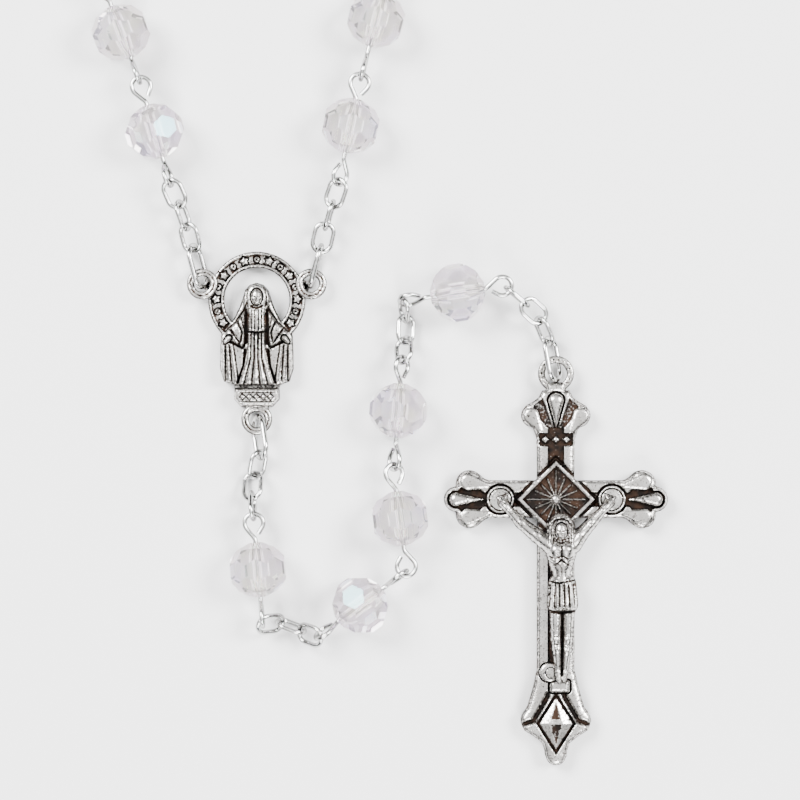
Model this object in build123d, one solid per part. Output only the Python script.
from build123d import *
import os
from dataclasses import dataclass
from math import asin, cos, radians, sin, sqrt, tan

# A crystal rosary laid open on a flat surface. Millimetres, +Z up, the surface at Z = 0.
# The origin is on the back face of the centrepiece, at the middle of the standing figure.
# +Y runs from the figure's feet to its head, and +X to the right of the centrepiece seen
# from the front.

# Beads and wire
BEAD_SIZE = 6.0             # across opposite facets
BORE_D = 1.0
WIRE_D = 0.52               # eye pins and chain links
PIN_LENGTH = 13.05          # over both eyes
EYE_WIDTH = 2.6
EYE_SHOULDER = 3.42         # from the pin's middle to where the eye leaves the axis
EYE_CORNER_R = 0.6          # bend of the wire at the shoulder
EYE_MOUTH = 0.72            # open gap between the cut end and the shoulder
LINK_LENGTH = 3.74
LINK_WIDTH = 2.6
LARGE_WIRE_D = 0.62         # the link next to each casting
LARGE_LENGTH = 5.3
LARGE_WIDTH = 3.1
GAP = 0.1                   # clearance between two hooked wires
EYELET_SLACK = 0.75         # extra play of a large link in the centrepiece's eyelets
CROSS_EYELET_SLACK = 1.45   # the same in the crucifix's wider eyelet

# Centrepiece casting
HALO_Y = 4.0
HALO_R = 5.39
HALO_HOLE_R = 3.65
HALO_T = 1.5
FIGURE_T = 1.7
ROBE_T = 2.4
EYELET_R = 1.72
EYELET_HOLE_R = 0.88
EYELET_T = 0.8
EYELET_Z = 1.3              # mid height of every eyelet
SIDE_EYELET = (6.05, 5.8)
FOOT_EYELET = (0.0, -9.25)

# Crucifix castings, measured from the crossing of the cross
CROSS_T = 2.0
CROSS_FIELD_Z = 1.45        # floor of the recessed channel
RELIEF_Z = 2.2              # top of the diamond, bosses and foot block, where the corpus sits
UPRIGHT_HALF = 2.1
ARM_HALF = 2.2
ARM_TIP = 12.45
TOP_END = 12.1
FOOT_TIP = 29.55
CROSS_EYELET_Y = 13.95
CROSS_EYELET_R = 2.0
CROSS_EYELET_HOLE_R = 1.2
DIAMOND_HALF = 4.44         # half diagonal

SWING = "swing"             # hinge about the wire that the piece hangs on
SLEW = "slew"               # hinge about the middle of the loop that the piece hangs in


@dataclass
class Hook:
    """A round loop that the next piece hangs in."""
    centre: Vector
    normal: Vector
    lead: Vector            # length direction of a link or pin, zero for a casting's eyelet
    radius: float           # middle of the wire or rim
    half: float             # half thickness of the wire or rim


@dataclass
class Piece:
    """One link or eye pin in its place, with the hinge that joins it to the piece before."""
    name: str
    kind: str
    frame: Plane            # origin at the near end of the wire's centreline, X along the piece
    twist: float            # far eye turned about X from the near eye
    slide: float            # bead's shift from the pin's middle
    pivot: Vector
    axis: Vector
    hook: Hook


def direction(heading, elevation):
    """Unit vector at a heading in the XY plane and an elevation above it, in degrees."""
    flat = cos(radians(elevation))
    return Vector(flat * cos(radians(heading)), flat * sin(radians(heading)), sin(radians(elevation)))


def lateral(heading, elevation, roll):
    """Sideways unit vector of a loop: roll 0 lies flat, roll 90 stands on edge."""
    flat = Vector(-sin(radians(heading)), cos(radians(heading)), 0)
    upright = direction(heading, elevation).cross(flat)
    return flat * cos(radians(roll)) + upright * sin(radians(roll))


def wire_size(kind):
    """Wire diameter, centreline length and centreline half width of a piece."""
    if kind == "large":
        return LARGE_WIRE_D, LARGE_LENGTH - LARGE_WIRE_D, (LARGE_WIDTH - LARGE_WIRE_D) / 2
    if kind == "link":
        return WIRE_D, LINK_LENGTH - WIRE_D, (LINK_WIDTH - WIRE_D) / 2
    return WIRE_D, PIN_LENGTH - WIRE_D, (EYE_WIDTH - WIRE_D) / 2


def contact_direction(hook, pull):
    """From the middle of a loop to where the next piece settles: in line with its pull, or at
    the loop's end when it pulls square to the loop."""
    square = pull.dot(hook.normal)
    return (pull - hook.normal * square + hook.lead * abs(square)).normalized()


def hang(hook, name, kind, heading, elevation, roll, hinge, far_roll=None, slide=0.0, slack=0.0):
    """Place a piece so that its near end hooks round the loop of the piece before it."""
    wire_d, length, half_width = wire_size(kind)
    pull = direction(heading, elevation)
    in_plane = contact_direction(hook, pull)
    touch = hook.centre + in_plane * hook.radius
    near = touch - pull * (hook.half + wire_d / 2 + GAP + slack)
    side = lateral(heading, elevation, roll)
    frame = Plane(origin=near, x_dir=pull, z_dir=pull.cross(side))
    far_roll = roll if far_roll is None else far_roll
    far_side = lateral(heading, elevation, far_roll)
    far_centre = near + pull * (length - half_width)
    far_hook = Hook(far_centre, pull.cross(far_side), pull, half_width, wire_d / 2)
    if hinge == SWING:
        pivot, axis = touch, hook.normal.cross(in_plane)
    else:
        pivot, axis = hook.centre, hook.normal
    return Piece(name, kind, frame, far_roll - roll, slide, pivot, axis, far_hook)


def wire_half(path_edges, wire_d):
    """Round wire along one planar open path that starts at the origin along +X or +Y."""
    path = Wire(path_edges)
    start = path.location_at(0)
    return sweep(start * Circle(wire_d / 2), path=path)


def link_solid(kind):
    """Oval link in the XY plane, its near end at the origin and its length along +X."""
    wire_d, length, half_width = wire_size(kind)
    middle = length / 2
    far_end = ThreePointArc(
        (length - half_width, -half_width), (length, 0), (length - half_width, half_width)
    )
    lower = Line((middle, -half_width), (length - half_width, -half_width))
    upper = Line((length - half_width, half_width), (middle, half_width))
    half = wire_half([lower, far_end, upper], wire_d)
    return half + half.mirror(Plane.YZ.offset(middle))


def eye_half():
    """Half an eye pin: from the pin's middle at the origin to the open eye at its +X end."""
    wire_d, length, eye_r = wire_size("pin")
    eye_x = length / 2 - eye_r
    reach = eye_x - EYE_SHOULDER
    taper = asin(eye_r / reach)
    leg = sqrt(reach**2 - eye_r**2)
    corner = EYE_CORNER_R * tan(taper / 2)
    bend_start = Vector(EYE_SHOULDER - corner, 0)
    bend_middle = bend_start + Vector(
        EYE_CORNER_R * sin(taper / 2), EYE_CORNER_R * (1 - cos(taper / 2))
    )
    shoulder = Vector(EYE_SHOULDER, 0)
    bend_end = shoulder + Vector(cos(taper), sin(taper)) * corner
    upper = shoulder + Vector(cos(taper), sin(taper)) * leg
    lower = Vector(upper.X, -upper.Y)
    cut_end = shoulder + Vector(cos(taper), -sin(taper)) * EYE_MOUTH
    edges = [
        Line((0, 0), bend_start),
        ThreePointArc(bend_start, bend_middle, bend_end),
        Line(bend_end, upper),
        ThreePointArc(upper, (eye_x + eye_r, 0), lower),
        Line(lower, cut_end),
    ]
    return wire_half(edges, wire_d)


def pin_solid(twist):
    """Eye pin along +X from the near end of its centreline, far eye turned by twist degrees."""
    wire_d, length, eye_r = wire_size("pin")
    half = eye_half()
    near = Rot(0, 0, 180) * half
    far = Rot(twist, 0, 0) * half
    return Pos(length / 2, 0, 0) * (near + far)


def bead_solid():
    """Faceted crystal bead with its bore along X."""
    bead = Box(1.2 * BEAD_SIZE, 1.2 * BEAD_SIZE, 1.2 * BEAD_SIZE)
    rings = [(0, 8, 0), (36, 8, 0.5), (-36, 8, 0.5), (64, 6, 0), (-64, 6, 0)]
    facets = [(90, 0), (-90, 0)]
    for latitude, count, offset in rings:
        facets += [(latitude, 360 * (k + offset) / count) for k in range(count)]
    for latitude, longitude in facets:
        flat = cos(radians(latitude))
        outward = Vector(
            sin(radians(latitude)), flat * cos(radians(longitude)), flat * sin(radians(longitude))
        )
        cut = Plane(origin=outward * BEAD_SIZE / 2, z_dir=outward)
        bead = bead.split(cut, keep=Keep.BOTTOM)
    return bead - Rot(0, 90, 0) * Cylinder(BORE_D / 2, 2 * BEAD_SIZE)


class Shapes:
    """One copy of every repeated shape."""

    def __init__(self):
        self.links = {"link": link_solid("link"), "large": link_solid("large")}
        self.pins = {}
        self.bead = bead_solid()

    def wire(self, piece):
        """The wire of a link or an eye pin, in place."""
        if piece.kind != "pin":
            return piece.frame.location * self.links[piece.kind]
        if piece.twist not in self.pins:
            self.pins[piece.twist] = pin_solid(piece.twist)
        return piece.frame.location * self.pins[piece.twist]

    def bead_on(self, piece):
        """The bead on an eye pin, in place."""
        middle = wire_size("pin")[1] / 2 + piece.slide
        return piece.frame.location * Pos(middle, 0, 0) * self.bead


def eyelet_hook(x, y, outer_r, hole_r):
    """The rim of a casting's eyelet as something to hang on."""
    middle = (outer_r + hole_r) / 2
    rim_half = (outer_r - hole_r) / 2
    return Hook(Vector(x, y, EYELET_Z), Vector(0, 0, 1), Vector(0, 0, 0), middle, rim_half)


def centrepiece_hook(x, y):
    return eyelet_hook(x, y, EYELET_R, EYELET_HOLE_R)


# Each row is one piece in order from the centrepiece:
# name, kind, heading, elevation, roll, hinge and, for eye pins, far roll and bead slide.
LEFT_STRAND = [
    ("left_connector_link_1", "large", 104.5, 6.5, 62, SLEW),
    ("left_connector_link_2", "link", 104, 9.5, -32, SWING),
    ("left_connector_link_3", "link", 109.5, 10, 66, SWING),
    ("left_connector_link_4", "link", 113, 10, -18, SLEW),
    ("left_eye_pin_1", "pin", 106.5, 0, 72, SWING, 2, 0.0),
    ("left_eye_pin_2", "pin", 110.5, 0, 88, SWING, 8, -0.3),
]
RIGHT_STRAND = [
    ("right_connector_link_1", "large", 75, 6.5, 88, SLEW),
    ("right_connector_link_2", "link", 77, 8, 4, SLEW),
    ("right_connector_link_3", "link", 73.5, 11, 84, SWING),
    ("right_connector_link_4", "link", 70.5, 12, -24, SLEW),
    ("right_eye_pin_1", "pin", 78, 0, 46, SWING, 0, 0.4),
    ("right_eye_pin_2", "pin", 75.5, 0, 88, SWING, 12, 0.6),
]
PENDANT = [
    ("pendant_connector_link_1", "large", 279, 18, 62, SWING),
    ("pendant_connector_link_2", "link", 259, -20.5, -44, SLEW),
    ("pendant_connector_link_3", "link", 267, 25.5, 26, SLEW),
    ("pendant_connector_link_4", "link", 270.5, 39, -80, SWING),
    ("pendant_eye_pin_1", "pin", 275, 0, 2, SWING, 90, -0.05),
    ("pendant_chain_link_1", "link", 4, -33.5, 30, SWING),
    ("pendant_chain_link_2", "link", 339.5, 0.5, -70, SWING),
    ("pendant_chain_link_3", "link", 342.5, 34.5, 24, SWING),
    ("pendant_eye_pin_2", "pin", 36.5, 0, -70, SWING, 80, -0.15),
    ("pendant_eye_pin_3", "pin", 97.5, 0, 2, SWING, 27, 0.2),
    ("pendant_eye_pin_4", "pin", 85.5, 0, -58, SWING, 50, 0.3),
    ("pendant_chain_link_4", "link", 93.5, -36.5, -40, SWING),
    ("pendant_chain_link_5", "link", 87, -9, 38, SWING),
    ("pendant_chain_link_6", "link", 87, 47, -66, SWING),
    ("pendant_eye_pin_5", "pin", 8.5, 0, 58, SWING, 6, 0.2),
    ("crucifix_connector_link_1", "link", 320.5, -15.5, 88, SWING),
    ("crucifix_connector_link_2", "link", 318.5, -17, -8, SWING),
    ("crucifix_connector_link_3", "link", 292.5, -11, 59, SWING),
    ("crucifix_connector_link_4", "large", 280, 2.5, -60, SWING),
]
CRUCIFIX_HEADING = 270

# The rest of the loop, mirrored left and right: single beads stand between the decades, with
# three links on each side. Each run is one rigid segment: its pieces and its turn per piece.
DECADE_RUN = ["pin"] * 8
SINGLE_BEAD_RUN = ["link"] * 3 + ["pin"] + ["link"] * 3
LOOP_RUNS = [
    DECADE_RUN,
    SINGLE_BEAD_RUN + ["pin"] * 4,
    ["pin"] * 6,
    SINGLE_BEAD_RUN + ["pin"] * 5,
]
LEFT_TURNS = [1.0, -2.5, -5.66, -9.1]
RIGHT_TURNS = [-1.0, -0.67, 8.5, 8.77]
LINK_TURN_SHARE = 0.25      # a link turns less than a pin, as it is shorter
LOOP_ROLLS = (80, -5)       # edge-on near loop and flat far loop, all along the loop


def hang_strand(rows, hook, slack):
    """Hang a listed strand on a casting's eyelet."""
    pieces = []
    for name, kind, heading, elevation, roll, hinge, *eye in rows:
        far_roll, slide = eye if eye else (None, 0.0)
        piece = hang(
            hook, name, kind, heading, elevation, roll, hinge, far_roll, slide, 0.0 if pieces else slack
        )
        pieces.append(piece)
        hook = piece.hook
    return pieces


def hang_loop(side, heading, hook, turns):
    """Hang the four rigid segments of one half of the loop on its last listed pin."""
    edge_on, flat = LOOP_ROLLS
    segments = []
    roll = edge_on
    for number, (run, turn) in enumerate(zip(LOOP_RUNS, turns), start=1):
        pieces = []
        for kind in run:
            heading += turn * (LINK_TURN_SHARE if kind == "link" else 1)
            name = f"{side}_loop_{number}"
            far_roll = flat if kind == "pin" else roll
            pieces.append(hang(hook, name, kind, heading, 0, roll, SWING, far_roll))
            roll = edge_on if far_roll == flat else flat
            hook = pieces[-1].hook
        segments.append(pieces)
    return segments


def crucifix_place(hook):
    """Centre of the cross's eyelet, hung on the last large link."""
    pull = direction(CRUCIFIX_HEADING, 0)
    rim_half = (CROSS_EYELET_R - CROSS_EYELET_HOLE_R) / 2
    rim_middle = (CROSS_EYELET_R + CROSS_EYELET_HOLE_R) / 2
    touch = hook.centre + contact_direction(hook, pull) * hook.radius
    centre = touch + pull * (rim_middle - rim_half - hook.half - GAP - CROSS_EYELET_SLACK)
    return Vector(centre.X, centre.Y, 0)


def lay():
    """Every wire piece in place, by strand, and the place of the crucifix."""
    left_x, side_y = SIDE_EYELET
    left = hang_strand(LEFT_STRAND, centrepiece_hook(-left_x, side_y), EYELET_SLACK)
    right = hang_strand(RIGHT_STRAND, centrepiece_hook(left_x, side_y), EYELET_SLACK)
    pendant = hang_strand(PENDANT, centrepiece_hook(*FOOT_EYELET), EYELET_SLACK)
    left_loop = hang_loop("left", LEFT_STRAND[-1][2], left[-1].hook, LEFT_TURNS)
    right_loop = hang_loop("right", RIGHT_STRAND[-1][2], right[-1].hook, RIGHT_TURNS)
    return left, right, pendant, left_loop, right_loop, crucifix_place(pendant[-1].hook)


def eyelet(x, y, outer_r, hole_r):
    """Flat cast ring at the common eyelet height."""
    ring = Circle(outer_r) - Circle(hole_r)
    return Pos(x, y, EYELET_Z - EYELET_T / 2) * extrude(ring, EYELET_T)


def mirrored_outline(points):
    """Closed outline from its right-hand points, mirrored about the Y axis."""
    left = [(-x, y) for x, y in reversed(points)]
    return make_face(Polyline(*points, *left, close=True))


def centrepiece():
    """Halo ring with three eyelets round a standing figure in a mantle on a plinth."""
    gap_half_angle = 40
    ring = Circle(HALO_R) - Circle(HALO_HOLE_R)
    opening = make_face(
        Polyline(
            (0, 0),
            (-2 * HALO_R * sin(radians(gap_half_angle)), -2 * HALO_R * cos(radians(gap_half_angle))),
            (2 * HALO_R * sin(radians(gap_half_angle)), -2 * HALO_R * cos(radians(gap_half_angle))),
            close=True,
        )
    )
    body = Pos(0, HALO_Y, 0) * extrude(ring - opening, HALO_T)
    mantle = mirrored_outline([(3.7, 0.4), (4.15, 0.1), (4.1, -4.1), (3.6, -5.2), (2.1, -5.6)])
    body += extrude(mantle, FIGURE_T)
    shoulders = mirrored_outline([(0.9, 5.4), (1.5, 4.3), (2.3, 1.2), (3.7, 0.4), (3.7, -0.4)])
    body += extrude(shoulders, FIGURE_T)
    robe = mirrored_outline([(1.1, 3.2), (1.5, 0.4), (1.3, -1.0), (1.9, -4.0), (2.2, -5.7)])
    body += extrude(robe, ROBE_T)
    plinth = mirrored_outline([(2.5, -5.5), (2.55, -6.9), (1.75, -7.85)])
    body += extrude(plinth, ROBE_T)
    head = Pos(0, 4.5, FIGURE_T) * Sphere(1.0)
    veil = Pos(0, 4.55, 0) * Cylinder(1.35, 2 * FIGURE_T)
    body += (head + veil) & Pos(0, 4.5, 5) * Box(10, 10, 10)
    left_x, side_y = SIDE_EYELET
    spots = [(-left_x, side_y), (left_x, side_y), FOOT_EYELET]
    for x, y in spots:
        body -= Pos(x, y, 0) * Cylinder(EYELET_HOLE_R, 10)
        body += eyelet(x, y, EYELET_R, EYELET_HOLE_R)
    return body


def arm_end(tip):
    """Three-lobed end of a cross arm along +X, its tip at the given distance."""
    lobe_x, lobe_y, lobe_r, tip_r = tip - 2.7, 1.7, 1.6, 1.42
    shape = Pos(tip - tip_r, 0) * Circle(tip_r)
    shape += Pos(lobe_x, lobe_y) * Circle(lobe_r)
    shape += Pos(lobe_x, -lobe_y) * Circle(lobe_r)
    shape += Pos(lobe_x, 0) * Rectangle(2 * lobe_r, 2 * lobe_y)
    return shape


def cross_outline():
    """Outline of the cross about its crossing."""
    shape = Rectangle(2 * ARM_TIP - 4.4, 2 * ARM_HALF)
    shape += arm_end(ARM_TIP)
    shape += Rot(0, 0, 180) * arm_end(ARM_TIP)
    shape += mirrored_outline([(1.55, TOP_END), (1.95, 11.1), (2.95, 10.4), (2.95, 8.2), (2.1, 5.7)])
    shape += Pos(2.62, 9.25) * Circle(1.18)
    shape += Pos(-2.62, 9.25) * Circle(1.18)
    shape += Pos(0, -7.3) * Rectangle(2 * UPRIGHT_HALF, 26.2)
    shape += mirrored_outline([(2.1, -20.2), (2.5, -21.7), (3.5, -23.5), (3.3, -25.9), (1.4, -27.1)])
    shape += Pos(2.62, -24.65) * Circle(1.3)
    shape += Pos(-2.62, -24.65) * Circle(1.3)
    shape += Pos(0, -FOOT_TIP + 1.1) * Circle(1.1)
    shape += Pos(0, -27.4) * Rectangle(2.3, 2.2)
    return shape


def cross_channel():
    """Recessed field between the raised borders of the cross."""
    shape = Pos(0, -6.4) * Rectangle(1.9, 30.0)
    shape += Rectangle(17.0, 1.9)
    shape += mirrored_outline([(2.4, 9.9), (0.95, 6.6)])
    for angle in (90, 270):
        shape += Rot(0, 0, angle) * mirrored_outline([(2.3, -10.6), (0.95, -8.0)])
    shape += mirrored_outline([(0.95, -19.5), (2.6, -24.4), (0.6, -27.0)])
    return shape


def crucifix_cross():
    """Cross casting: raised borders, diamond panel, bosses, title plate, ornaments and eyelet."""
    body = extrude(cross_outline(), CROSS_T)
    body -= Pos(0, 0, CROSS_FIELD_Z) * extrude(cross_channel(), CROSS_T)
    diamond = Rot(0, 0, 45) * Rectangle(DIAMOND_HALF * sqrt(2), DIAMOND_HALF * sqrt(2))
    body += extrude(diamond, RELIEF_Z)
    for side in (-1, 1):
        body += Pos(6.2 * side, 0, RELIEF_Z / 2) * Cylinder(1.6, RELIEF_Z)
        drop = make_face(
            Polyline(
                (7.9 * side, 0.25), (11.4 * side, 0.85), (11.4 * side, -0.85), (7.9 * side, -0.25), close=True
            )
        )
        body += extrude(drop, RELIEF_Z)
    body += extrude(mirrored_outline([(0.95, 11.6), (0.3, 8.1)]), RELIEF_Z)
    body += Pos(0, 6.7, RELIEF_Z / 2) * Box(3.7, 1.5, RELIEF_Z)
    body += extrude(mirrored_outline([(0.05, -22.2), (1.8, -24.9), (0.05, -27.7)]), RELIEF_Z)
    body += Pos(0.4, -19.4, RELIEF_Z / 2) * Box(2.6, 2.6, RELIEF_Z)
    body += eyelet(0, CROSS_EYELET_Y, CROSS_EYELET_R, CROSS_EYELET_HOLE_R)
    body -= Pos(0, CROSS_EYELET_Y, 0) * Cylinder(CROSS_EYELET_HOLE_R, 10)
    return body


def limb(start, end, start_r, end_r):
    """Tapered round limb between two ball ends, one revolved solid."""
    start, along = Vector(*start), Vector(*end) - Vector(*start)
    length = along.length
    lean = asin((start_r - end_r) / length)
    out, up = cos(lean), sin(lean)
    half_out, half_up = cos(lean / 2 - radians(45)), sin(lean / 2 - radians(45))
    tip_out, tip_up = cos(lean / 2 + radians(45)), sin(lean / 2 + radians(45))
    outline = [
        ThreePointArc(
            (0, 0, -start_r), (start_r * half_out, 0, start_r * half_up), (start_r * out, 0, start_r * up)
        ),
        Line((start_r * out, 0, start_r * up), (end_r * out, 0, length + end_r * up)),
        ThreePointArc(
            (end_r * out, 0, length + end_r * up),
            (end_r * tip_out, 0, length + end_r * tip_up),
            (0, 0, length + end_r),
        ),
        Line((0, 0, length + end_r), (0, 0, -start_r)),
    ]
    return Plane(origin=start, z_dir=along) * revolve(Face(Wire(outline)), Axis.Z)


def corpus():
    """Figure on the cross as a separate casting with a flat back."""
    low = RELIEF_Z
    body = limb((0.55, -5.1, low + 0.5), (0.6, -8.6, low + 0.4), 1.35, 0.95)
    body += limb((0.7, -8.9, low + 0.45), (0.72, -11.4, low + 0.5), 1.15, 1.3)
    body += limb((0.3, -11.6, low + 0.42), (0.1, -16.0, low + 0.6), 0.9, 0.6)
    body += limb((0.12, -15.9, low + 0.58), (0.15, -19.6, low + 0.3), 0.63, 0.45)
    body += limb((1.25, -11.7, low + 0.44), (1.12, -15.9, low + 0.5), 0.85, 0.58)
    body += limb((1.1, -15.8, low + 0.52), (0.8, -19.4, low + 0.2), 0.61, 0.4)
    for side, shoulder_x in ((-1, -0.9), (1, 1.9)):
        body += limb((shoulder_x, -4.9, low + 0.5), (3.7 * side, -2.4, low + 0.35), 0.75, 0.52)
        body += limb((3.6 * side, -2.5, low + 0.37), (5.5 * side, -0.6, low + 0.25), 0.56, 0.46)
    body += Pos(0.53, -3.4, low + 0.75) * Sphere(1.5)
    keep = Pos(0, -10, low + 5) * Box(40, 40, 10)
    return body & keep


def write(name, shape):
    export_step(shape, f"parts/{name}.step")


def main():
    os.makedirs("parts", exist_ok=True)
    shapes = Shapes()
    left, right, pendant, left_loop, right_loop, crucifix_at = lay()
    write("centrepiece", centrepiece())
    for piece in left + right + pendant:
        write(piece.name, shapes.wire(piece))
        if piece.kind == "pin":
            write(piece.name.replace("eye_pin", "bead"), shapes.bead_on(piece))
    for segments in (left_loop, right_loop):
        for pieces in segments:
            pins = [piece for piece in pieces if piece.kind == "pin"]
            name = pieces[0].name
            write(f"{name}_wire", Compound(children=[shapes.wire(piece) for piece in pieces]))
            write(f"{name}_beads", Compound(children=[shapes.bead_on(piece) for piece in pins]))
    crossing = Pos(crucifix_at.X, crucifix_at.Y - CROSS_EYELET_Y, 0)
    write("crucifix_cross", crossing * crucifix_cross())
    write("corpus", crossing * corpus())


if __name__ == "__main__":
    main()
